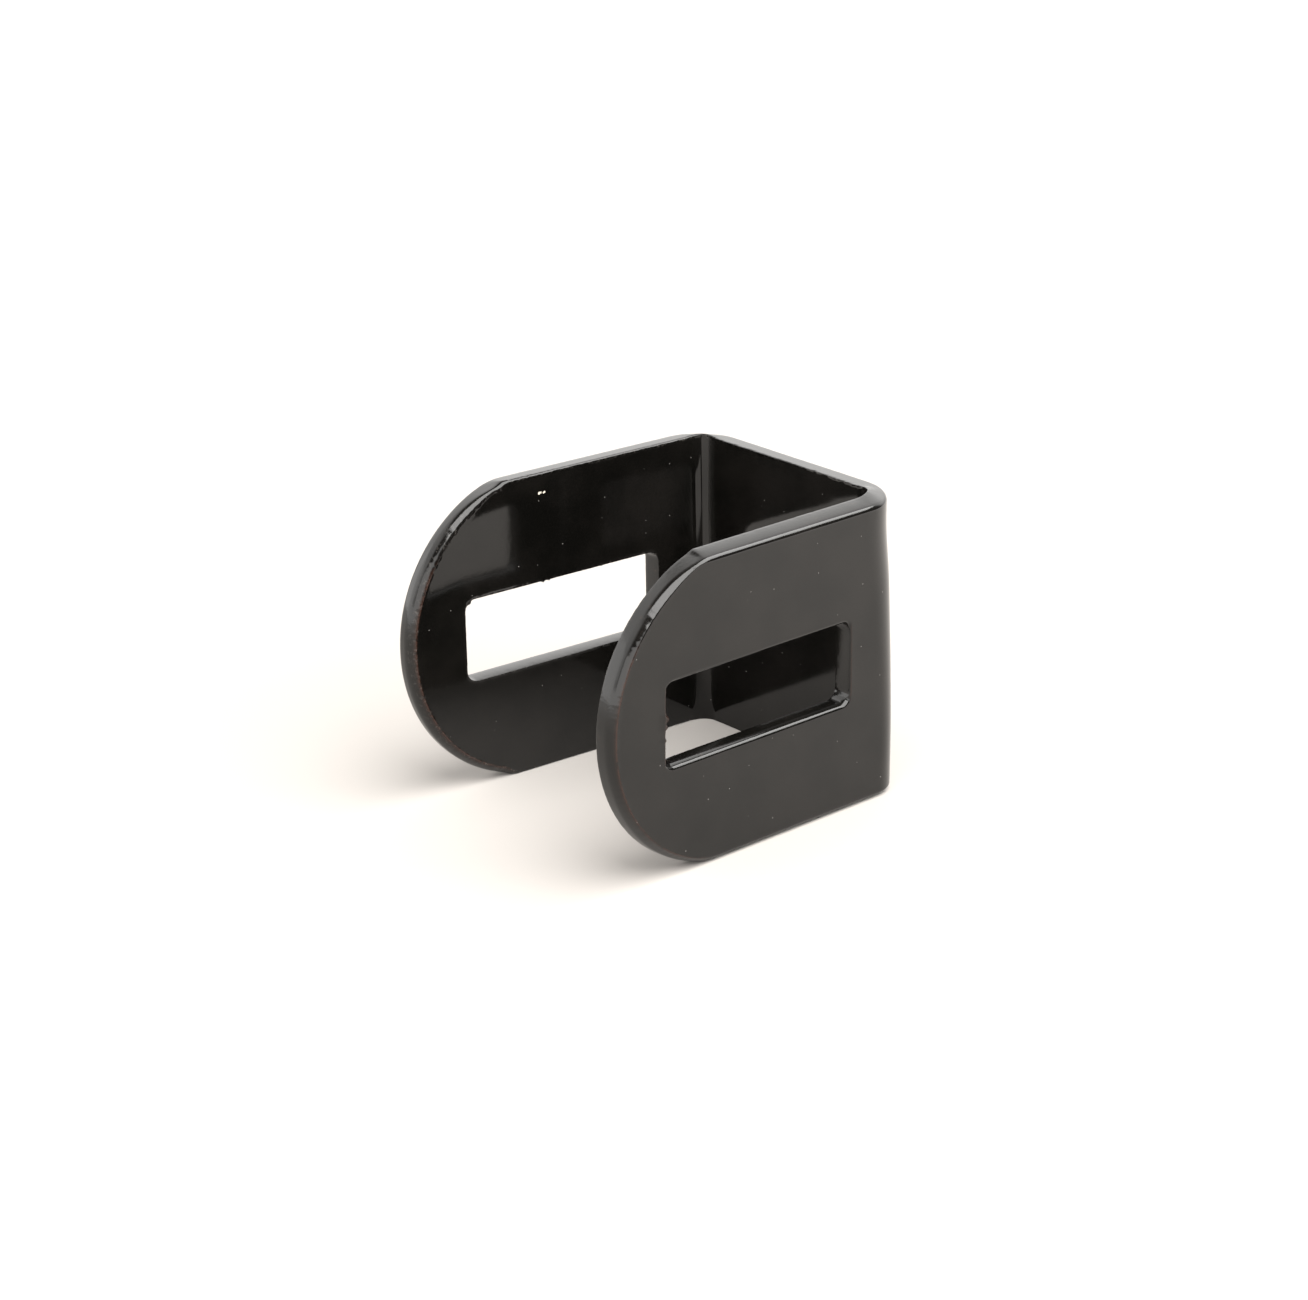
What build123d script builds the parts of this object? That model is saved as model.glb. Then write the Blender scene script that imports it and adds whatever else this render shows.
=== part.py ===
from build123d import *
import math
import os

# Buckle slider: one U of thick steel strip. The strip is blanked with a round end and a strap slot at
# each end, then bent twice, so that a flat bridge joins two facing ears. It is lacquered all over.
# Millimetres. +Z is across the strip's width, +X points out of the bridge, and the ears run to -X.
# The origin is at the middle of the part's box, at the height of its bottom edge.

# the strip
strip_width = 26.0          # the part's height when it stands on the strip's edge
strip_thickness = 1.8       # steel and coat together

# the U
outside_width = 25.0        # over both ears, where they leave the bridge
ear_length = 32.7           # from the bridge's outer face to the end of an ear
bend_inner_radius = 1.5
splay_angle = 2.0           # degrees that each ear leans outwards, as the bends spring back
end_radius = 13.45          # a little over half the strip's width, so it meets the edges at a faint corner

# the strap slot in each ear
slot_length = 20.4
slot_height = 7.0
slot_corner_radius = 0.9
slot_from_bridge = 6.6      # from the bridge's outer face to the near end of the slot

# the blanking tool rolls over the edges of the outer faces, and leaves the inner ones square
edge_roll = 0.3

tool_overrun = 2.0          # how far a cutting tool runs past the metal

bend_outer_radius = bend_inner_radius + strip_thickness
splay = math.radians(splay_angle)
bridge_x = (ear_length * math.cos(splay) + strip_thickness * math.sin(splay)) / 2


def ear_directions(side):
    """For the ear at +Y (side 1) or -Y (side -1): the way to its end, and the way into the gap."""
    along = Vector(-math.cos(splay), side * math.sin(splay), 0)
    inward = Vector(-math.sin(splay), -side * math.cos(splay), 0)
    return along, inward


def ear_point(side, distance, depth):
    """A point seen from above: distance along the ear's outer face from where that face would meet
    the bridge's, and depth into the metal from it."""
    along, inward = ear_directions(side)
    corner = Vector(bridge_x, side * outside_width / 2, 0)
    return corner + along * distance + inward * depth


def bent_strip():
    """The U at the strip's full width, with square ends. Each corner is a side, a distance along
    that ear, a depth and the radius that it is rounded to."""
    # how far along the ear the inner faces of ear and bridge would meet
    inner_corner = strip_thickness * math.tan(math.pi / 4 - splay / 2)
    corners = [
        (1, ear_length, 0, 0),
        (1, 0, 0, bend_outer_radius),
        (-1, 0, 0, bend_outer_radius),
        (-1, ear_length, 0, 0),
        (-1, ear_length, strip_thickness, 0),
        (-1, inner_corner, strip_thickness, bend_inner_radius),
        (1, inner_corner, strip_thickness, bend_inner_radius),
        (1, ear_length, strip_thickness, 0),
    ]
    points = [ear_point(side, distance, depth) for side, distance, depth, radius in corners]
    radii = [radius for side, distance, depth, radius in corners]
    with BuildPart() as strip:
        with BuildSketch():
            with BuildLine():
                FilletPolyline(*points, radius=radii, close=True)
            make_face()
        extrude(amount=strip_width)
    return strip.part


def ear_waste(side):
    """What the punches take from one ear: the metal around its round end, and the strap slot."""
    along, inward = ear_directions(side)
    middle = Vector(0, 0, strip_width / 2)
    face = Plane(origin=ear_point(side, 0, -tool_overrun) + middle, x_dir=along, z_dir=inward)
    end_centre = ear_length - end_radius
    with BuildPart() as waste:
        with BuildSketch(face):
            with Locations((end_centre, 0)):
                Rectangle(
                    end_radius + tool_overrun,
                    strip_width + 2 * tool_overrun,
                    align=(Align.MIN, Align.CENTER),
                )
                Circle(end_radius, mode=Mode.SUBTRACT)
            with Locations((slot_from_bridge + slot_length / 2, 0)):
                RectangleRounded(slot_length, slot_height, slot_corner_radius)
        extrude(amount=strip_thickness + 2 * tool_overrun)
    return waste.part


def is_outer(face):
    """True for the bridge's, the bends' and the ears' faces that look away from the gap."""
    middle = face.center()
    normal = face.normal_at(middle)
    away_from_gap = normal.X * middle.X + normal.Y * middle.Y > 0
    upright = abs(normal.Z) < 0.5
    wider_than_a_cut_face = face.area > 2 * strip_width * strip_thickness
    return away_from_gap and upright and wider_than_a_cut_face


def rolled_edges(frame):
    """The outer faces' edges along the strip, round its ends and round the slots, without the lines
    where one outer face runs into the next."""
    edges = [edge for face in frame.faces() if is_outer(face) for edge in face.edges()]
    return [edge for edge in edges if sum(edge.is_same(other) for other in edges) == 1]


def slider_frame():
    """The finished piece: bent, pierced, rounded at the ends, with its outer edges rolled over."""
    frame = bent_strip() - ear_waste(1) - ear_waste(-1)
    return fillet(rolled_edges(frame), edge_roll)


os.makedirs("parts", exist_ok=True)
export_step(slider_frame(), "parts/slider_frame.step")
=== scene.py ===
"""Looks of the buckle slider: one stamped, pierced and bent steel strip in black lacquer.

The strip is meshed as it is made: first flat, with its round ends, its two slots and the edges that
shearing leaves, and then bent through the same two bends as the CAD part.
"""

import math

import bpy
import numpy as np
from mathutils import Matrix, Vector, noise
from mathutils.geometry import delaunay_2d_cdt


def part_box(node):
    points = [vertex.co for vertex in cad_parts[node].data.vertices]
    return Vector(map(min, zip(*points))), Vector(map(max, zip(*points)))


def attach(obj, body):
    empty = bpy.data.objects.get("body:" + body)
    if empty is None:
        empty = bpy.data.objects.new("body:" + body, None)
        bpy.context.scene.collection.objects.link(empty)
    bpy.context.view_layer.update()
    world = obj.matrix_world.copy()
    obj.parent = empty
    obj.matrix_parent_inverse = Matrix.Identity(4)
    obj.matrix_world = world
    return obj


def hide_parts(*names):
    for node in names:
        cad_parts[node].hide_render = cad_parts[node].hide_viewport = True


MM = 0.001
NODE = "slider_frame"

# The strip, in millimetres. The width and the two long sizes come from the CAD node's own box.
THICKNESS = 1.8
OUTSIDE_WIDTH = 25.0
EAR_LENGTH = 32.7
SPLAY = math.radians(2.0)
INNER_RADIUS = 1.5
END_RADIUS = 13.45
SLOT_LENGTH = 20.4
SLOT_HEIGHT = 7.0
SLOT_CORNER = 0.9
SLOT_FROM_BRIDGE = 6.6

NEAR, FAR = -1, 1

# What shearing leaves on an edge, in millimetres: a rolled side, a slanting torn wall and a burr.
ROLL_DEPTH = 0.44
ROLL_WIDTH = 0.43
SLOT_ROLL_DEPTH = 0.46
SLOT_ROLL_WIDTH = 0.40
SLOT_INNER_WIDTH, SLOT_INNER_DEPTH = 0.04, 0.05
DRAFT = 0.12
SLOT_DRAFT = 0.07
BURR = 0.035

# The inner edge is rounded a little, and more on the far ear.
INNER_WIDTH, FAR_EAR_WIDER = 0.03, 0.11
INNER_DEPTH, FAR_EAR_DEEPER = 0.04, 0.09

# Shares by which the rolled edge is smaller on a slot's short sides and at the round ends' top corners,
# and how far from such a corner.
SHORT_SIDE_THINNER = 0.72
CORNER_THINNER, CORNER_REACH = 0.78, 2.9

# Heights between which the bare, crusty edge of a round end begins.
CRUST_TOP, CRUST_FULL = 21.5, 19.0

# Mesh spacing, in millimetres: along the edges, from an edge to the face net, between the net's rows,
# and between its columns on the flats and across the bends.
EDGE_STEP = 0.10
HOLD = 1.25
FACE_STEP = 0.55
COLUMN_STEP = 0.48
BEND_COLUMN_STEP = 0.24

# Spacing of the fine line that an outline is softened on, and how far its corners are softened: the
# walls least, the outline's rolled side more, and its points on the faces most.
LINE_STEP = 0.02
OUTLINE_BLUR = 0.22
SLOT_BLUR = 0.06
ROLL_BLUR = 0.6
FACE_BLUR = 0.9

# The round ends are cropped apart from one long strip. Each end's wall has a slanting band with a
# sharp, ragged edge: on the near ear at the outer face, on the far ear at the inner face.
# Given as ((outer width, outer depth), (inner width, inner depth)), with the angles, from the face,
# between which each band curves.
END_ROLLS = {NEAR: ((0.48, 0.77), (0.05, 0.06)), FAR: ((0.24, 0.34), (0.62, 0.86))}
BAND_START = {NEAR: math.radians(32), FAR: math.radians(12)}
BAND_END = math.radians(77)

# The end is cropped by its own tool, so each straight edge runs a little past the point where the
# round end would meet it, and the round end dips beside the step, over DIP_SPREAD degrees. By (ear, top
# or bottom edge), in millimetres.
OVERRUN = {(NEAR, 1): 0.24, (NEAR, -1): 0.15, (FAR, 1): 0.22, (FAR, -1): 0.15}
END_DIP = {(NEAR, 1): 0.09, (NEAR, -1): 0.03, (FAR, 1): 0.12, (FAR, -1): 0.03}
DIP_SPREAD = 9
END_CENTRE = EAR_LENGTH - END_RADIUS

# How much further out than in the CAD part the bridge end of each slot stands.
SLOT_SHORTER = {NEAR: 0.0, FAR: 0.22}

# Beads of lacquer and burr on the slots' edges: ear, distance from the bridge, height, size.
LUMPS = (
    (NEAR, 27.0, 13.7, 0.30),
    (NEAR, 27.0, 13.0, 0.20),
    (NEAR, 27.0, 11.9, 0.10),
    (FAR, 26.7, 16.4, 0.20),
    (FAR, 19.1, 16.5, 0.15),
    (FAR, 18.5, 16.5, 0.11),
    (FAR, 12.9, 16.5, 0.07),
)

# A pale chip on the far ear's inner face, its colour partly the chip and partly a painted glint: distance
# from the bridge, height, radius.
CHIP_AND_GLINT_SPOTS = (
    (19.20, 24.29, 0.145),
    (19.05, 24.31, 0.125),
    (18.90, 24.29, 0.115),
    (18.74, 24.26, 0.115),
    (18.60, 24.28, 0.125),
)

# Both ears lean out a little towards their top edge, in degrees.
LEAN = {NEAR: 0.6, FAR: 0.9}

# The near bend is sharper at the bottom edge and opens towards the top one: change of its radius.
NEAR_BEND_LOW = -0.45
NEAR_BEND_RISE = 1.55

# Inner faces that fall away towards their edges: depth and reach. The near bend's part of the bridge
# falls away less, and the near ear's top edge has an inner lip that is raised instead.
FALL, FALL_REACH = 0.10, 1.8
NEAR_BEND_FALL, NEAR_BEND_FALL_REACH = 0.03, 0.5
LIP_RISE, LIP_REACH = 0.17, 2.2

# At the free edges of a bend the inner skin bulges, the outer one draws in, and its top sinks.
BULGE, DRAW_IN, BULGE_REACH = 0.18, 0.12, 1.6
TOP_SINK = 0.20

# Waviness of the faces: (wavelength, amplitude, place in the noise).
WAVES = ((9.0, 0.010, 3.1), (3.4, 0.0025, 8.2))

# Lacquer: linear colours, and the lowest and highest roughness of the clean coat.
COAT_IOR = 1.45
GLOSS = (0.055, 0.095)
DEEP_BLACK = (0.0024, 0.0023, 0.0020, 1)
CLOUDED_BLACK = (0.0052, 0.0047, 0.0041, 1)
WORN_COAT = (0.050, 0.030, 0.020, 1)
BARE_METAL = (0.026, 0.011, 0.007, 1)
THIN_COAT = (0.13, 0.12, 0.11, 1)
DUST = (0.16, 0.155, 0.145, 1)
# The chip's pale colour, partly primer and partly a painted glint.
PALE_CHIP_AND_GLINT = (0.66, 0.60, 0.50, 1)

# Studio, in metres. The floor's own glow, painted light, grows from the first distance to the second.
LIGHT = (1.0, 0.985, 0.965)
FLOOR_HALF = 0.9
FLOOR_COLOUR = (0.375, 0.356, 0.338, 1)
GLOW_FROM, GLOW_TO, GLOW = 0.035, 0.27, 0.85
SOFTBOX_SIZE = (0.87, 0.85)
SOFTBOX_PLACE = (0.14, -0.44, 0.50)
SOFTBOX_RADIANCE = 8.6
PANEL_RADIANCE = 3.2
DIMMEST_WALL = 0.08

# The camera, fitted to the photograph: degrees and metres, and its aim from the middle of the box in
# millimetres.
AZIMUTH, ELEVATION, ROLL = -40.48, 20.70, -0.37
DISTANCE = 0.273877
AIM = (-0.215, 0.164, -0.041)
LENS, SENSOR = 91.797, 36


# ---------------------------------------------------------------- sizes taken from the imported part
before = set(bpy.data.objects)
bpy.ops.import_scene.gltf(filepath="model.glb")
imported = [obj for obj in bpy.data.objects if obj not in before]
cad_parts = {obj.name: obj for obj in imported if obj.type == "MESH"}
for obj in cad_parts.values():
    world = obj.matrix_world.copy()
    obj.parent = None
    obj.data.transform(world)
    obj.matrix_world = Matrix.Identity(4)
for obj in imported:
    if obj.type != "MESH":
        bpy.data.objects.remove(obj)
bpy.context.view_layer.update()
box_low, box_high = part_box(NODE)
WIDTH = (box_high.z - box_low.z) / MM
BRIDGE_X = box_high.x / MM
FLOOR_Z = box_low.z / MM
MIDDLE = WIDTH / 2

OUTER_RADIUS = INNER_RADIUS + THICKNESS
TURN = math.pi / 2 - SPLAY
TANGENT = OUTER_RADIUS * math.tan(TURN / 2)
BEND = OUTER_RADIUS * TURN
HALF_BRIDGE = OUTSIDE_WIDTH / 2 - TANGENT
EAR_START = HALF_BRIDGE + BEND


def developed(distance):
    """Flat-pattern coordinate of a point on an ear, from its distance to the virtual outer corner."""
    return EAR_START + distance - TANGENT


# ---------------------------------------------------------------- flat outline and slots
def resample(points, step, blur):
    """A closed line as evenly spaced points, its corners softened over about blur millimetres."""
    points = np.array(points)
    gaps = np.linalg.norm(np.roll(points, -1, 0) - points, axis=1)
    points = points[gaps > 1e-6]
    closed = np.vstack([points, points[:1]])
    length = np.concatenate([[0], np.cumsum(np.linalg.norm(np.diff(closed, axis=0), axis=1))])
    fine = int(length[-1] / LINE_STEP)
    at = np.arange(fine) * length[-1] / fine
    line = np.stack([np.interp(at, length, closed[:, k]) for k in (0, 1)], 1)
    reach = int(3 * blur / LINE_STEP)
    weights = np.exp(-0.5 * (np.arange(-reach, reach + 1) * LINE_STEP / blur) ** 2)
    weights /= weights.sum()
    padded = np.vstack([line[-reach:], line, line[:reach]])
    line = np.stack([np.convolve(padded[:, k], weights, "valid") for k in (0, 1)], 1)
    closed = np.vstack([line, line[:1]])
    length = np.concatenate([[0], np.cumsum(np.linalg.norm(np.diff(closed, axis=0), axis=1))])
    count = int(round(length[-1] / step))
    at = np.arange(count) * length[-1] / count
    return np.stack([np.interp(at, length, closed[:, k]) for k in (0, 1)], 1)


def softened(line, blur):
    """The same closed line, point for point, blurred over about blur millimetres."""
    reach = int(3 * blur / EDGE_STEP)
    weights = np.exp(-0.5 * (np.arange(-reach, reach + 1) * EDGE_STEP / blur) ** 2)
    weights /= weights.sum()
    padded = np.vstack([line[-reach:], line, line[:reach]])
    return np.stack([np.convolve(padded[:, k], weights, "valid") for k in (0, 1)], 1)


def left_normals(line):
    """Unit normals on the left of a closed line."""
    ahead = np.roll(line, -2, 0) - np.roll(line, 2, 0)
    ahead /= np.linalg.norm(ahead, axis=1)[:, None]
    return np.stack([-ahead[:, 1], ahead[:, 0]], 1)


def end_angle(side, edge):
    """Angle, about a round end's centre, at which the end leaves its straight edge."""
    meets = math.sqrt(END_RADIUS**2 - MIDDLE**2)
    return math.acos((meets + OVERRUN[side, edge]) / END_RADIUS)


def outline():
    """The strip's outline, anticlockwise, as (developed length, height)."""
    points = []
    for side, first in ((FAR, -1), (NEAR, 1)):
        start, stop = end_angle(side, first), end_angle(side, -first)
        corner = side * developed(END_CENTRE + END_RADIUS * math.cos(start))
        points.append((corner, MIDDLE + first * MIDDLE))
        for t in np.linspace(0, 1, 400):
            angle = first * (start + (-stop - start) * t)
            edge = 1 if angle > 0 else -1
            from_corner = math.degrees(end_angle(side, edge)) - abs(math.degrees(angle))
            radius = END_RADIUS - END_DIP[side, edge] * math.exp(-((from_corner / DIP_SPREAD) ** 2))
            u = side * developed(END_CENTRE + radius * math.cos(angle))
            points.append((u, MIDDLE + radius * math.sin(angle)))
        corner = side * developed(END_CENTRE + END_RADIUS * math.cos(stop))
        points.append((corner, MIDDLE - first * MIDDLE))
    return resample(points, EDGE_STEP, OUTLINE_BLUR)


def slot(side):
    """One slot's outline, clockwise, so that the metal is on its left."""
    hi = developed(SLOT_FROM_BRIDGE) + SLOT_LENGTH
    lo = developed(SLOT_FROM_BRIDGE) + SLOT_SHORTER[side]
    top, bottom = MIDDLE + SLOT_HEIGHT / 2, MIDDLE - SLOT_HEIGHT / 2
    r = SLOT_CORNER
    corners = (
        (hi - r, bottom + r, 0),
        (lo + r, bottom + r, 270),
        (lo + r, top - r, 180),
        (hi - r, top - r, 90),
    )
    points = []
    for u, v, angle in corners:
        for t in np.linspace(0, 90, 24):
            a = math.radians(angle - t)
            points.append((side * (u + r * math.cos(a)), v + r * math.sin(a)))
    if side == NEAR:
        points.reverse()
    return resample(points, EDGE_STEP, SLOT_BLUR)


# ---------------------------------------------------------------- noise helpers
def wavering(points, size, seed):
    """Smooth noise from -1 to 1 at each point; size is in millimetres."""
    shift = Vector((seed * 17.3, seed * -9.1, seed * 4.7))
    return np.array([noise.noise(Vector((p[0], p[1], 0.0)) / size + shift) for p in points])


def smooth_step(low, high, value):
    t = np.clip((value - low) / (high - low), 0, 1)
    return t * t * (3 - 2 * t)


# ---------------------------------------------------------------- edge profile
def edge_rings(line, is_slot):
    """Rings of (points, depth, rim, lip, crust) across an edge, from the outer face to the inner one."""
    count = len(line)
    into_metal = left_normals(line)
    soft = line if is_slot else softened(line, FACE_BLUR)
    round_soft = line if is_slot else softened(line, ROLL_BLUR)
    into_soft, into_round = left_normals(soft), left_normals(round_soft)
    on_near, on_far = np.zeros(count), np.zeros(count)

    if is_slot:
        outer_width, outer_depth = np.full(count, SLOT_ROLL_WIDTH), np.full(count, SLOT_ROLL_DEPTH)
        inner_width, inner_depth = np.full(count, SLOT_INNER_WIDTH), np.full(count, SLOT_INNER_DEPTH)
        draft = -SLOT_DRAFT
        # The slot's short sides are sheared with hardly any rolled edge.
        upright = smooth_step(0.75, 0.98, np.abs(into_metal[:, 0]))
        lump = np.zeros(count)
        for side, distance, height, size in LUMPS:
            if side * line[0, 0] > 0:
                away = np.hypot(line[:, 0] - side * developed(distance), line[:, 1] - height)
                lump += size * np.exp(-((away / size) ** 2))
        near_lump, far_lump = lump * (line[:, 0] < 0), lump * (line[:, 0] > 0)
        outer_width = outer_width * (1 - SHORT_SIDE_THINNER * upright)
        outer_depth = outer_depth * (1 - SHORT_SIDE_THINNER * upright)
        crust = 0.75 * upright
        far_crust = ragged = 0.0
    else:
        near_lump = far_lump = np.zeros(count)
        corner = developed(END_CENTRE + math.sqrt(END_RADIUS**2 - MIDDLE**2))
        on_end = smooth_step(corner - 0.9, corner + 1.3, np.abs(line[:, 0]))
        on_near, on_far = on_end * (line[:, 0] < 0), on_end * (line[:, 0] > 0)
        (near_outer, near_inner), (far_outer, far_inner) = END_ROLLS[NEAR], END_ROLLS[FAR]

        def mixed(straight, near_end, far_end):
            return straight + on_near * (near_end - straight) + on_far * (far_end - straight)

        past_corner = np.abs(line[:, 0]) - corner
        # Both bands start narrow at the top corners.
        by_top_corner = np.exp(-(((past_corner - 0.2) / CORNER_REACH) ** 2)) * on_end
        thin = 1 - CORNER_THINNER * by_top_corner * (line[:, 1] > MIDDLE)
        on_near_ear = smooth_step(HALF_BRIDGE, EAR_START, -line[:, 0])
        softness = 0.55 + 0.45 * on_near_ear
        outer_width = mixed(ROLL_WIDTH * softness, near_outer[0], far_outer[0])
        outer_depth = mixed(ROLL_DEPTH * softness, near_outer[1], far_outer[1])
        on_far_ear = smooth_step(HALF_BRIDGE, EAR_START, line[:, 0])
        inner_width = mixed(INNER_WIDTH + FAR_EAR_WIDER * on_far_ear, near_inner[0], far_inner[0])
        inner_depth = mixed(INNER_DEPTH + FAR_EAR_DEEPER * on_far_ear, near_inner[1], far_inner[1])
        outer_width, outer_depth = outer_width * thin, outer_depth * thin
        inner_width = inner_width * (1 - on_far * (1 - thin))
        inner_depth = inner_depth * (1 - on_far * (1 - thin))
        draft = DRAFT * (1 - 0.8 * on_end)
        # Bare, crusty edges are found on the lower part of both round ends.
        low_part = smooth_step(CRUST_TOP, CRUST_FULL, line[:, 1])
        crust = on_near * low_part
        far_crust = on_far * low_part
    start = np.maximum(draft, 0) * np.ones(count)
    jagged = wavering(line, 0.42, 3) + 0.7 * wavering(line, 0.21, 4)
    outer_width = outer_width * (1 + 0.06 * wavering(line, 2.1, 1)) + 0.022 * on_near * jagged
    inner_width = inner_width + 0.012 * on_far * jagged
    shear_wave = 0.006 * wavering(line, 1.7, 2)
    torn = (0.012 * jagged + 0.010 * wavering(line, 0.9, 7)) * (1 - on_far)
    if not is_slot:
        # The top edge's inner lip is ragged along the bridge and at the far ear's end.
        on_bridge = smooth_step(HALF_BRIDGE + 3, HALF_BRIDGE, np.abs(line[:, 0]))
        by_far_end = smooth_step(corner - 6.5, corner - 3.0, line[:, 0])
        ragged = (line[:, 1] > MIDDLE) * (1 - on_end) * (0.9 * on_bridge + 1.6 * by_far_end)
        torn = torn * (1 + 0.5 * ragged) + 0.022 * ragged * wavering(line, 0.15, 8)
    beads = 0.35 + 0.9 * wavering(line, 0.45, 5) + 0.5 * wavering(line, 0.22, 6)
    burr = BURR * (0.25 + np.clip(beads, 0, 1.3)) * (1 + ragged)
    outer_burr = 0.4 * burr * np.maximum(on_near, 0.5 * crust)
    pits = 0.10 * np.clip(wavering(line, 0.17, 9), 0, 0.4)
    pits = 0 if is_slot else pits * on_near * (line[:, 1] > MIDDLE) * smooth_step(5.5, 4.0, past_corner)

    rings = []

    def ring(q, depth, rim, lip=0.0, edge=0.0):
        q = np.broadcast_to(q, (count,))
        depth = np.broadcast_to(depth, (count,))
        away = smooth_step(0.15, 0.9, q)[:, None]
        base = line * (1 - away) + soft * away
        way = into_metal * (1 - away) + into_soft * away
        skin = smooth_step(1.75, 0.30, depth)[:, None] * (1 - away)
        base = base * (1 - skin) + (round_soft * (1 - away) + soft * away) * skin
        way = way * (1 - skin) + (into_round * (1 - away) + into_soft * away) * skin
        way /= np.linalg.norm(way, axis=1)[:, None]
        rings.append((base + way * q[:, None], depth, rim, lip, edge * np.ones(count)))

    for q in (HOLD, 0.98):
        ring(q, 0.0, 0.0)
    ring(start + outer_width + 0.07, 0.0, 0.1)
    first = BAND_START[NEAR] * np.maximum(on_near, crust)
    for share in np.linspace(0, 1, 8):
        a = first + (BAND_END - first) * share
        across = (math.sin(BAND_END) - np.sin(a)) / (math.sin(BAND_END) - np.sin(first))
        down = (np.cos(first) - np.cos(a)) / (np.cos(first) - math.cos(BAND_END))
        pitted = pits * math.exp(-(((share - 0.43) / 0.09) ** 2))
        ring(
            start + outer_width * across + shear_wave * share + pitted - 0.8 * near_lump * (1 - share**2),
            outer_depth * down - outer_burr * (1 - share) ** 4 + pitted - 0.6 * near_lump * (1 - share),
            0.2 + 0.8 * share,
            0.0,
            crust * (1 - share) ** 8,
        )
    low, high = outer_depth, THICKNESS - inner_depth
    for share in (0.2, 0.42, 0.64, 0.84):
        slant = share * (2 - share) if not is_slot else share**3
        tearing = smooth_step(0.7, 1.3, share)
        q = start - draft * slant + shear_wave + torn * tearing
        ring(q, low + (high - low) * share, 1.0, 0.2 * tearing)
    end = start - draft
    last = BAND_START[FAR] * on_far
    for share in (0, 0.25, 0.5, 0.75, 1):
        a = math.pi / 2 - (math.pi / 2 - last) * share
        across = (1 - np.sin(a)) / (1 - np.sin(last))
        up = np.cos(a) / np.cos(last)
        raised = burr * smooth_step(0.4, 1.0, share)
        ring(
            end + inner_width * across + torn * (1 - 0.7 * share) - 0.8 * far_lump * (0.3 + 0.7 * share),
            THICKNESS - inner_depth * (1 - up) + raised + 0.6 * far_lump * share,
            1.0 - 0.3 * share,
            share,
            far_crust * share**8,
        )
    ring(end + inner_width + 0.05, THICKNESS + 0.7 * burr, 0.6, 0.9, 0.3 * far_crust)
    ring(end + inner_width + 0.12, THICKNESS + 0.15 * burr, 0.3, 0.3)
    for q in (0.24, 0.50):
        ring(end + inner_width + q, THICKNESS, 0.0)
    ring(HOLD, THICKNESS, 0.0)
    return rings


# ---------------------------------------------------------------- bending the flat strip
def place(flat, depth):
    """The bent strip's points, in millimetres, for flat points and their depth below the outer face."""
    u, v, depth = flat[:, 0], flat[:, 1].copy(), depth.copy()
    side = np.where(u < 0, -1.0, 1.0)
    along = np.abs(u)
    share = depth / THICKNESS
    height = v - MIDDLE
    from_edge = MIDDLE - np.abs(height)

    from_outline = np.minimum(v, WIDTH - v)
    reach = along - developed(END_CENTRE)
    from_end = END_RADIUS - np.hypot(reach, height)
    from_outline = np.where(reach > 0, np.minimum(from_outline, from_end), from_outline)

    # The far ear's and the bridge's inner faces fall away a little towards their edges, and the
    # near ear's top edge has a raised inner lip.
    from_outline = np.clip(from_outline, 0, None)
    on_ear = smooth_step(HALF_BRIDGE, EAR_START, along)
    fall = FALL * np.exp(-from_outline / FALL_REACH)
    by_near_bend = smooth_step(3.0, 6.5, -u)
    fall += by_near_bend * (NEAR_BEND_FALL * np.exp(-from_outline / NEAR_BEND_FALL_REACH) - fall)
    depth -= share * fall * np.where(u < 0, 1 - on_ear, 1.0)
    v += LIP_RISE * share * (u < 0) * on_ear * smooth_step(LIP_REACH, 0.0, WIDTH - v)

    # The bend stretches the outer skin and squeezes the inner one, most of all at the free edges.
    bent = np.clip((along - HALF_BRIDGE + 0.8) / (BEND + 1.6), 0, 1)
    bent = np.sin(math.pi * bent) ** 2
    at_edge = np.exp(-np.clip(from_edge, 0, None) / BULGE_REACH)
    v += np.sign(height) * bent * at_edge * ((BULGE + DRAW_IN) * share - DRAW_IN)
    depth = depth + bent * (1 - share) * TOP_SINK * smooth_step(18.0, 24.0, v)

    # The faces are a little wavy, as stamped strip is.
    for length, amplitude, layer in WAVES:
        wave = [noise.noise(Vector((a / length, b / length, layer))) for a, b in zip(u, v)]
        depth = depth + amplitude * np.array(wave)

    lean = np.where(u < 0, LEAN[NEAR], LEAN[FAR]) * smooth_step(HALF_BRIDGE, EAR_START, along)
    depth = depth - np.radians(lean) * height

    # The corner's place stays where it is when the bend's radius changes.
    radius = OUTER_RADIUS + (u < 0) * (NEAR_BEND_LOW + NEAR_BEND_RISE * smooth_step(4.0, 26.0, v))
    tangent = radius * math.tan(TURN / 2)
    half_bridge = OUTSIDE_WIDTH / 2 - tangent
    angle = np.clip((along - HALF_BRIDGE) / BEND, 0, 1) * TURN
    out_x, out_y = np.cos(angle), np.sin(angle)
    flat_bridge = np.minimum(along, HALF_BRIDGE) * half_bridge / HALF_BRIDGE
    past_bend = np.maximum(along - EAR_START, 0)
    past_bend -= (tangent - TANGENT) * smooth_step(0.0, 4.5, past_bend)
    x = BRIDGE_X - radius + (radius - depth) * out_x - past_bend * math.cos(SPLAY)
    y = flat_bridge + (radius - depth) * out_y + past_bend * math.sin(SPLAY)
    return np.stack([x, side * y, FLOOR_Z + v], 1)


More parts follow.
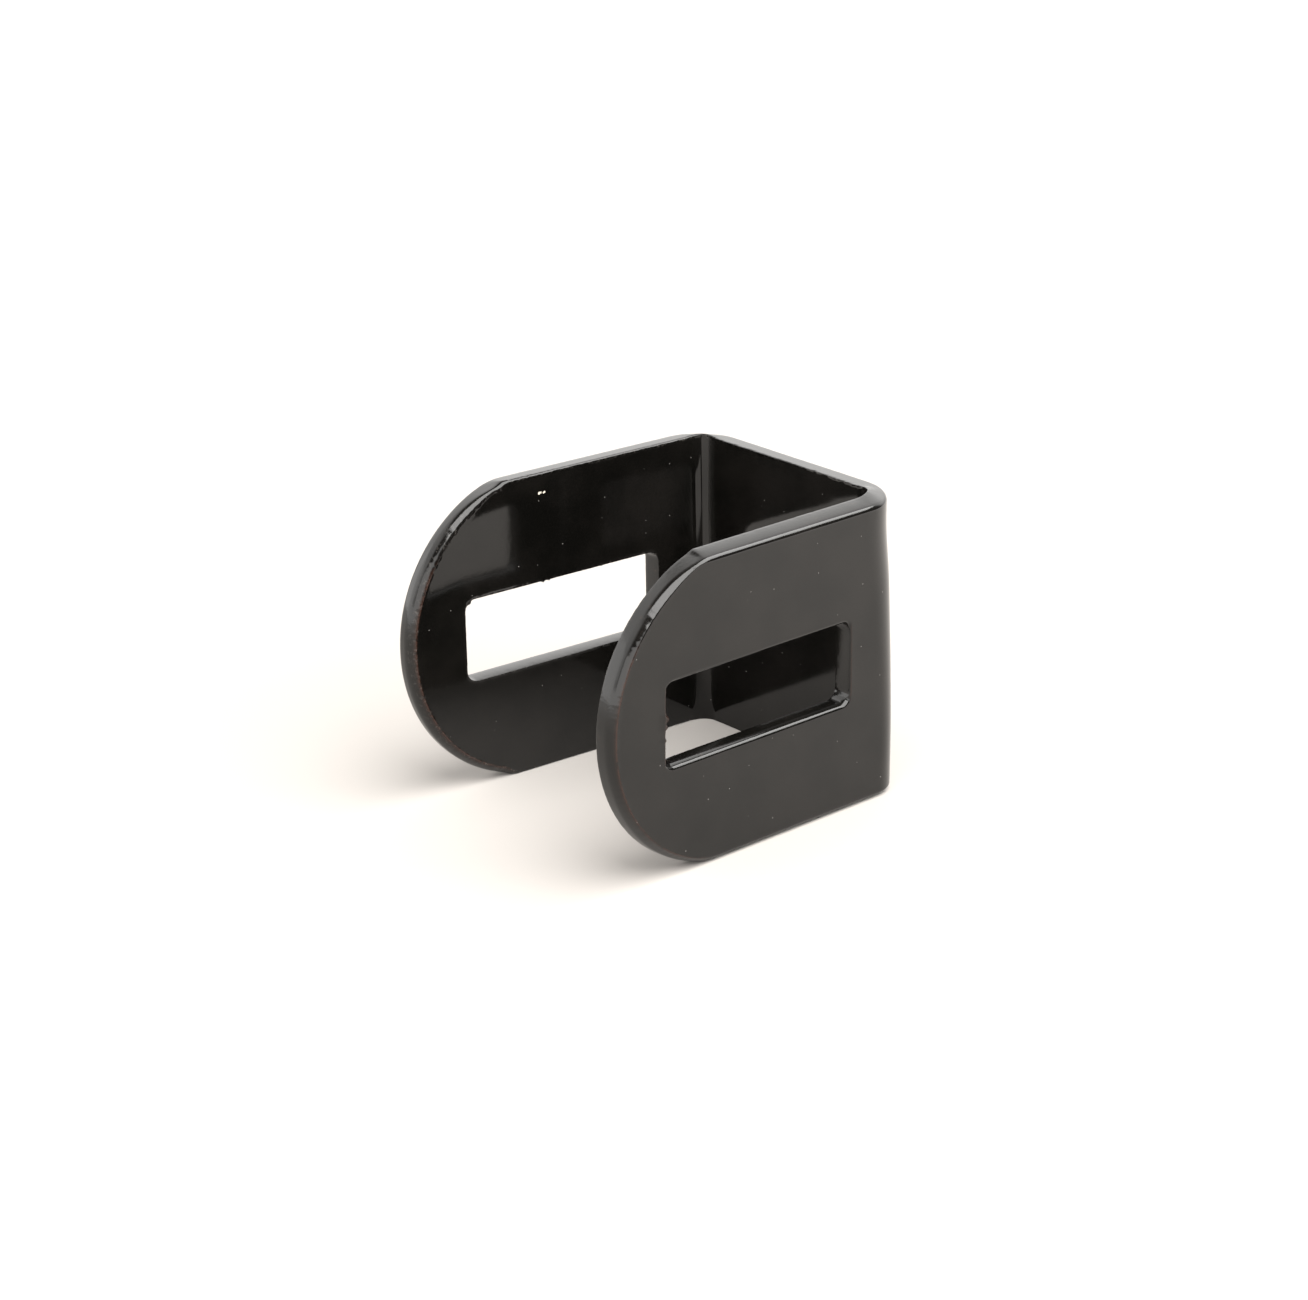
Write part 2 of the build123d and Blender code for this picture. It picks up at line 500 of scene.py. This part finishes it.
# ---------------------------------------------------------------- mesh
class Sheet:
    """Vertices and faces of the strip, gathered in flat coordinates."""

    def __init__(self):
        self.flat, self.depth, self.rim, self.lip, self.crust, self.faces = [], [], [], [], [], []
        self.count = 0

    def add(self, flat, depth, rim, lip, crust):
        start = self.count
        self.flat.append(np.asarray(flat))
        self.depth.append(np.asarray(depth, float))
        self.rim.append(np.full(len(flat), float(rim)))
        self.lip.append(np.full(len(flat), float(lip)))
        self.crust.append(crust * np.ones(len(flat)))
        self.count += len(flat)
        return start

    def band(self, first, second, count):
        for i in range(count):
            j = (i + 1) % count
            self.faces.append((first + i, first + j, second + j, second + i))


def inside(u, v, margin):
    """True where a flat point is in the metal and at least margin from every edge."""
    if not margin < v < WIDTH - margin:
        return False
    reach = abs(u) - developed(END_CENTRE)
    if reach > 0 and math.hypot(reach, v - MIDDLE) > END_RADIUS - margin:
        return False
    lo = developed(SLOT_FROM_BRIDGE)
    in_length = lo - margin < abs(u) < lo + SLOT_LENGTH + margin
    return not (in_length and abs(v - MIDDLE) < SLOT_HEIGHT / 2 + margin)


def face_points():
    """Inner points of the flat faces: an even net, closer across the bends."""
    points = []
    rows = int(WIDTH / FACE_STEP)
    end = developed(EAR_LENGTH)
    u = 0.0
    column = 0
    while u < end:
        for side in (NEAR, FAR) if column else (FAR,):
            for row in range(rows + 1):
                v = (row + 0.5 * (column % 2)) * FACE_STEP
                if inside(u, v, HOLD + 0.25):
                    points.append((side * u, v))
        in_bend = HALF_BRIDGE - 0.6 < u < EAR_START + 0.6
        u += BEND_COLUMN_STEP if in_bend else COLUMN_STEP
        column += 1
    return points


def in_loop(points, loop):
    """True for each point inside a closed line."""
    x, y = points[:, 0, None], points[:, 1, None]
    ax, ay = loop[:, 0], loop[:, 1]
    bx, by = np.roll(ax, -1), np.roll(ay, -1)
    crosses = (ay > y) != (by > y)
    rise = np.where(by == ay, 1.0, by - ay)
    return (crosses & (x < ax + (y - ay) * (bx - ax) / rise)).sum(1) % 2 == 1


def build_strip():
    sheet = Sheet()
    rims = []
    for line, is_slot in ((outline(), False), (slot(NEAR), True), (slot(FAR), True)):
        rings = edge_rings(line, is_slot)
        starts = [sheet.add(*ring) for ring in rings]
        for a, b in zip(starts, starts[1:]):
            sheet.band(b, a, len(line))
        rims.append((starts[0], starts[-1], len(line), rings[0][0]))

    loops = np.vstack([r[3] for r in rims])
    edges, offset = [], 0
    for _, _, count, _ in rims:
        edges += [(offset + i, offset + (i + 1) % count) for i in range(count)]
        offset += count
    extra = face_points()
    coords = [Vector((p[0], p[1])) for p in loops] + [Vector(p) for p in extra]
    _, _, triangles, origin, _, _ = delaunay_2d_cdt(coords, edges, [], 4, 1e-5)

    outer_map, inner_map = {}, {}
    offset = 0
    for outer, inner, count, _ in rims:
        for i in range(count):
            outer_map[offset + i] = outer + i
            inner_map[offset + i] = inner + i
        offset += count
    outer = sheet.add(extra, np.zeros(len(extra)), 0, 0, 0)
    inner = sheet.add(extra, np.full(len(extra), THICKNESS), 0, 0, 0)
    for i in range(len(extra)):
        outer_map[offset + i] = outer + i
        inner_map[offset + i] = inner + i
    corners = [[origin[i][0] for i in triangle] for triangle in triangles]
    flat_coords = np.array(coords)
    middles = flat_coords[np.array(corners)].mean(1)
    in_metal = [in_loop(middles, r[3]) for r in rims]
    in_metal = in_metal[0] & ~in_metal[1] & ~in_metal[2]
    for ids, is_metal in zip(corners, in_metal):
        if not is_metal:
            continue
        a, b, c = (coords[i] for i in ids)
        if (b - a).cross(c - a) < 0:
            ids.reverse()
        sheet.faces.append(tuple(outer_map[i] for i in ids))
        sheet.faces.append(tuple(inner_map[i] for i in reversed(ids)))

    points = place(np.vstack(sheet.flat), np.concatenate(sheet.depth)) * MM
    mesh = bpy.data.meshes.new("strip")
    mesh.from_pydata(points.tolist(), [], sheet.faces)
    for name, values in (("rim", sheet.rim), ("lip", sheet.lip), ("crust", sheet.crust)):
        layer = mesh.attributes.new(name, "FLOAT", "POINT")
        layer.data.foreach_set("value", np.concatenate(values).astype(np.float32))
    mesh.polygons.foreach_set("use_smooth", [True] * len(mesh.polygons))
    mesh.update()
    strip = bpy.data.objects.new("lacquered_strip", mesh)
    bpy.context.scene.collection.objects.link(strip)
    return strip


# ---------------------------------------------------------------- node helpers
def add_node(tree, kind, inputs=None, **settings):
    node = tree.nodes.new(kind)
    for name, value in settings.items():
        setattr(node, name, value)
    for name, value in (inputs or {}).items():
        if isinstance(value, bpy.types.NodeSocket):
            tree.links.new(value, node.inputs[name])
        else:
            node.inputs[name].default_value = value
    return node


def math_node(tree, operation, *values):
    return add_node(tree, "ShaderNodeMath", dict(enumerate(values)), operation=operation).outputs[0]


def ramp(tree, value, low, high, to_low=0.0, to_high=1.0):
    node = add_node(
        tree,
        "ShaderNodeMapRange",
        {"Value": value, "From Min": low, "From Max": high, "To Min": to_low, "To Max": to_high},
        interpolation_type="SMOOTHSTEP",
    )
    return node.outputs["Result"]


def blend_colours(tree, factor, first, second):
    node = add_node(tree, "ShaderNodeMix", data_type="RGBA")
    for socket, value in zip((node.inputs[0], node.inputs[6], node.inputs[7]), (factor, first, second)):
        if isinstance(value, bpy.types.NodeSocket):
            tree.links.new(value, socket)
        else:
            socket.default_value = value
    return node.outputs[2]


# ---------------------------------------------------------------- lacquer
def lacquer():
    material = bpy.data.materials.new("black_lacquer")
    material.use_nodes = True
    tree = material.node_tree
    shader = tree.nodes["Principled BSDF"]
    shader.inputs["IOR"].default_value = COAT_IOR

    place_in_mm = add_node(
        tree,
        "ShaderNodeVectorMath",
        {0: add_node(tree, "ShaderNodeTexCoord").outputs["Object"], "Scale": 1 / MM},
        operation="SCALE",
    ).outputs[0]

    def grain(scale, detail=2.0, rough=0.5):
        node = add_node(
            tree,
            "ShaderNodeTexNoise",
            {"Vector": place_in_mm, "Scale": scale, "Detail": detail, "Roughness": rough},
        )
        return node.outputs[0]

    rim = add_node(tree, "ShaderNodeAttribute", attribute_name="rim").outputs["Fac"]
    lip = add_node(tree, "ShaderNodeAttribute", attribute_name="lip").outputs["Fac"]
    crust = add_node(tree, "ShaderNodeAttribute", attribute_name="crust").outputs["Fac"]

    cloudy = grain(0.22, 3.0)
    fine = grain(3.2, 4.0, 0.6)
    tone = blend_colours(tree, ramp(tree, cloudy, 0.3, 0.7), DEEP_BLACK, CLOUDED_BLACK)
    worn = math_node(tree, "MULTIPLY", rim, ramp(tree, grain(1.6, 5.0, 0.7), 0.58, 0.76))
    tone = blend_colours(tree, math_node(tree, "MULTIPLY", worn, 0.22), tone, WORN_COAT)
    bare = math_node(tree, "MULTIPLY", crust, ramp(tree, grain(2.6, 4.0, 0.6), 0.32, 0.50))
    tone = blend_colours(tree, bare, tone, BARE_METAL)
    thin = math_node(tree, "MULTIPLY", lip, ramp(tree, fine, 0.52, 0.72))
    tone = blend_colours(tree, math_node(tree, "MULTIPLY", thin, 0.30), tone, THIN_COAT)

    # Grains of dust caught in the lacquer of the faces. The pattern is laid on them from the side, and
    # would smear across the walls.
    axes = add_node(tree, "ShaderNodeSeparateXYZ", {0: place_in_mm})
    unrolled = add_node(
        tree,
        "ShaderNodeCombineXYZ",
        {"X": math_node(tree, "SUBTRACT", axes.outputs["X"], axes.outputs["Y"]), "Y": axes.outputs["Z"]},
    ).outputs[0]
    cells = add_node(
        tree, "ShaderNodeTexVoronoi", {"Vector": unrolled, "Scale": 0.42}, voronoi_dimensions="2D"
    )
    chance = add_node(tree, "ShaderNodeSeparateColor", {0: cells.outputs["Color"]})
    grain_size = ramp(tree, chance.outputs["Red"], 0.45, 1.0, 0.0, 0.024)
    dust = ramp(tree, math_node(tree, "SUBTRACT", grain_size, cells.outputs["Distance"]), 0.0, 0.012)
    dust = math_node(tree, "MULTIPLY", dust, ramp(tree, rim, 0.5, 0.3))
    tone = blend_colours(tree, dust, tone, DUST)

    # The chip on the far ear: a pale spot, partly the pale primer under the chipped lacquer and partly a
    # painted glint of light.
    chip_and_glint = None
    for distance, height, radius in CHIP_AND_GLINT_SPOTS:
        spot = place(np.array([[developed(distance), height]]), np.array([THICKNESS]))[0]
        away = add_node(
            tree, "ShaderNodeVectorMath", {0: place_in_mm, 1: tuple(spot)}, operation="DISTANCE"
        ).outputs["Value"]
        ragged = math_node(tree, "ADD", away, ramp(tree, grain(5.0, 3.0), 0.3, 0.7, 0.0, 0.09))
        patch = ramp(tree, ragged, radius + 0.03, radius - 0.03)
        chip_and_glint = patch if chip_and_glint is None else math_node(tree, "MAXIMUM", chip_and_glint, patch)
    tone = blend_colours(tree, chip_and_glint, tone, PALE_CHIP_AND_GLINT)
    tree.links.new(tone, shader.inputs["Base Color"])

    gloss = ramp(tree, cloudy, 0.25, 0.75, *GLOSS)
    for where, duller in ((rim, 0.04), (worn, 0.15), (bare, 0.20), (dust, 0.40), (chip_and_glint, 0.50)):
        gloss = math_node(tree, "ADD", gloss, math_node(tree, "MULTIPLY", where, duller))
    tree.links.new(gloss, shader.inputs["Roughness"])

    # Orange peel everywhere, and a rougher surface on the walls.
    peel = add_node(
        tree,
        "ShaderNodeBump",
        {"Strength": 0.6, "Distance": 4e-6, "Height": grain(0.9, 2.0)},
    ).outputs["Normal"]
    rough_wall = math_node(tree, "MULTIPLY", rim, grain(4.5, 3.0, 0.6))
    pitted = add_node(
        tree,
        "ShaderNodeBump",
        {"Strength": 0.35, "Distance": 1.6e-5, "Height": rough_wall, "Normal": peel},
    ).outputs["Normal"]
    tree.links.new(pitted, shader.inputs["Normal"])
    return material


# ---------------------------------------------------------------- studio
def make_floor():
    mesh = bpy.data.meshes.new("floor")
    signs = ((-1, -1), (1, -1), (1, 1), (-1, 1))
    corners = [(a * FLOOR_HALF, b * FLOOR_HALF, FLOOR_Z * MM) for a, b in signs]
    mesh.from_pydata(corners, [], [(0, 1, 2, 3)])
    floor = bpy.data.objects.new("floor", mesh)
    bpy.context.scene.collection.objects.link(floor)
    material = bpy.data.materials.new("pale_floor")
    material.use_nodes = True
    shader = material.node_tree.nodes["Principled BSDF"]
    shader.inputs["Base Color"].default_value = FLOOR_COLOUR
    shader.inputs["Roughness"].default_value = 1.0
    shader.inputs["Specular IOR Level"].default_value = 0.0
    # The floor glows as painted light: away from the part it brightens into the white backdrop, so no
    # horizon shows, and near the part, where it does not glow, it stays darker.
    tree = material.node_tree
    place_on_floor = add_node(tree, "ShaderNodeTexCoord").outputs["Object"]
    away = add_node(tree, "ShaderNodeVectorMath", {0: place_on_floor}, operation="LENGTH").outputs["Value"]
    shader.inputs["Emission Color"].default_value = (*LIGHT, 1)
    tree.links.new(ramp(tree, away, GLOW_FROM, GLOW_TO, 0.0, GLOW), shader.inputs["Emission Strength"])
    mesh.materials.append(material)


def make_lights():
    lamp = bpy.data.lights.new("softbox", "AREA")
    lamp.shape = "RECTANGLE"
    lamp.size, lamp.size_y = SOFTBOX_SIZE
    lamp.energy = SOFTBOX_RADIANCE * math.pi * lamp.size * lamp.size_y
    lamp.color = LIGHT
    softbox = bpy.data.objects.new("softbox", lamp)
    softbox.location = SOFTBOX_PLACE
    bpy.context.scene.collection.objects.link(softbox)

    # The world is a bright wall behind the part, dimmer near the horizon and dark overhead, and a
    # bright panel on its open side.
    world = bpy.data.worlds.new("studio")
    world.use_nodes = True
    tree = world.node_tree
    tree.nodes.clear()
    direction = add_node(tree, "ShaderNodeTexCoord").outputs["Generated"]
    split = add_node(tree, "ShaderNodeSeparateXYZ", {0: direction})
    up = split.outputs["Z"]
    towards_back = split.outputs["Y"]
    wall = math_node(tree, "MULTIPLY", ramp(tree, up, 0.36, 0.68, 2.4, 2.05), ramp(tree, up, 0.90, 0.76))
    wall = math_node(tree, "MULTIPLY", wall, ramp(tree, up, 0.10, 0.34, 0.6, 1.0))
    wall = math_node(tree, "MULTIPLY", wall, ramp(tree, towards_back, -0.30, 0.05))
    on_open_side = ramp(tree, split.outputs["X"], -0.15, -0.40)
    panel = math_node(tree, "MULTIPLY", on_open_side, ramp(tree, up, 0.55, 0.49))
    # Above the horizon the panel stands in two halves. The dark gap between them draws a line along
    # the rolled edges.
    halves = math_node(
        tree, "MAXIMUM", ramp(tree, towards_back, -0.12, -0.22), ramp(tree, towards_back, 0.14, 0.26)
    )
    halves = math_node(tree, "MAXIMUM", halves, ramp(tree, up, 0.21, 0.16))
    panel = math_node(tree, "MULTIPLY", panel, math_node(tree, "MULTIPLY", halves, PANEL_RADIANCE))
    strength = math_node(tree, "ADD", math_node(tree, "MAXIMUM", wall, panel), DIMMEST_WALL)
    background = add_node(tree, "ShaderNodeBackground", {"Color": (*LIGHT, 1), "Strength": strength})
    output = add_node(tree, "ShaderNodeOutputWorld")
    tree.links.new(background.outputs[0], output.inputs["Surface"])
    bpy.context.scene.world = world


# ---------------------------------------------------------------- camera
def make_camera():
    azimuth, elevation, roll = (math.radians(angle) for angle in (AZIMUTH, ELEVATION, ROLL))
    aim = (box_low + box_high) / 2 + Vector(AIM) * MM
    back = Vector(
        (
            math.sin(azimuth) * math.cos(elevation),
            -math.cos(azimuth) * math.cos(elevation),
            math.sin(elevation),
        )
    )
    level = Vector((math.cos(azimuth), math.sin(azimuth), 0))
    upward = back.cross(level)
    right = level * math.cos(roll) + upward * math.sin(roll)
    upward = back.cross(right)
    lens = bpy.data.cameras.new("camera")
    lens.sensor_width = SENSOR
    lens.lens = LENS
    lens.clip_start = 0.01
    camera = bpy.data.objects.new("camera", lens)
    turned = Matrix((right, upward, back)).transposed().to_4x4()
    camera.matrix_world = Matrix.Translation(aim + back * DISTANCE) @ turned
    bpy.context.scene.collection.objects.link(camera)
    bpy.context.scene.camera = camera


strip = build_strip()
strip.data.materials.append(lacquer())
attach(strip, "root")
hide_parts(NODE)
make_floor()
make_lights()
make_camera()
bpy.context.scene.view_settings.view_transform = "Standard"
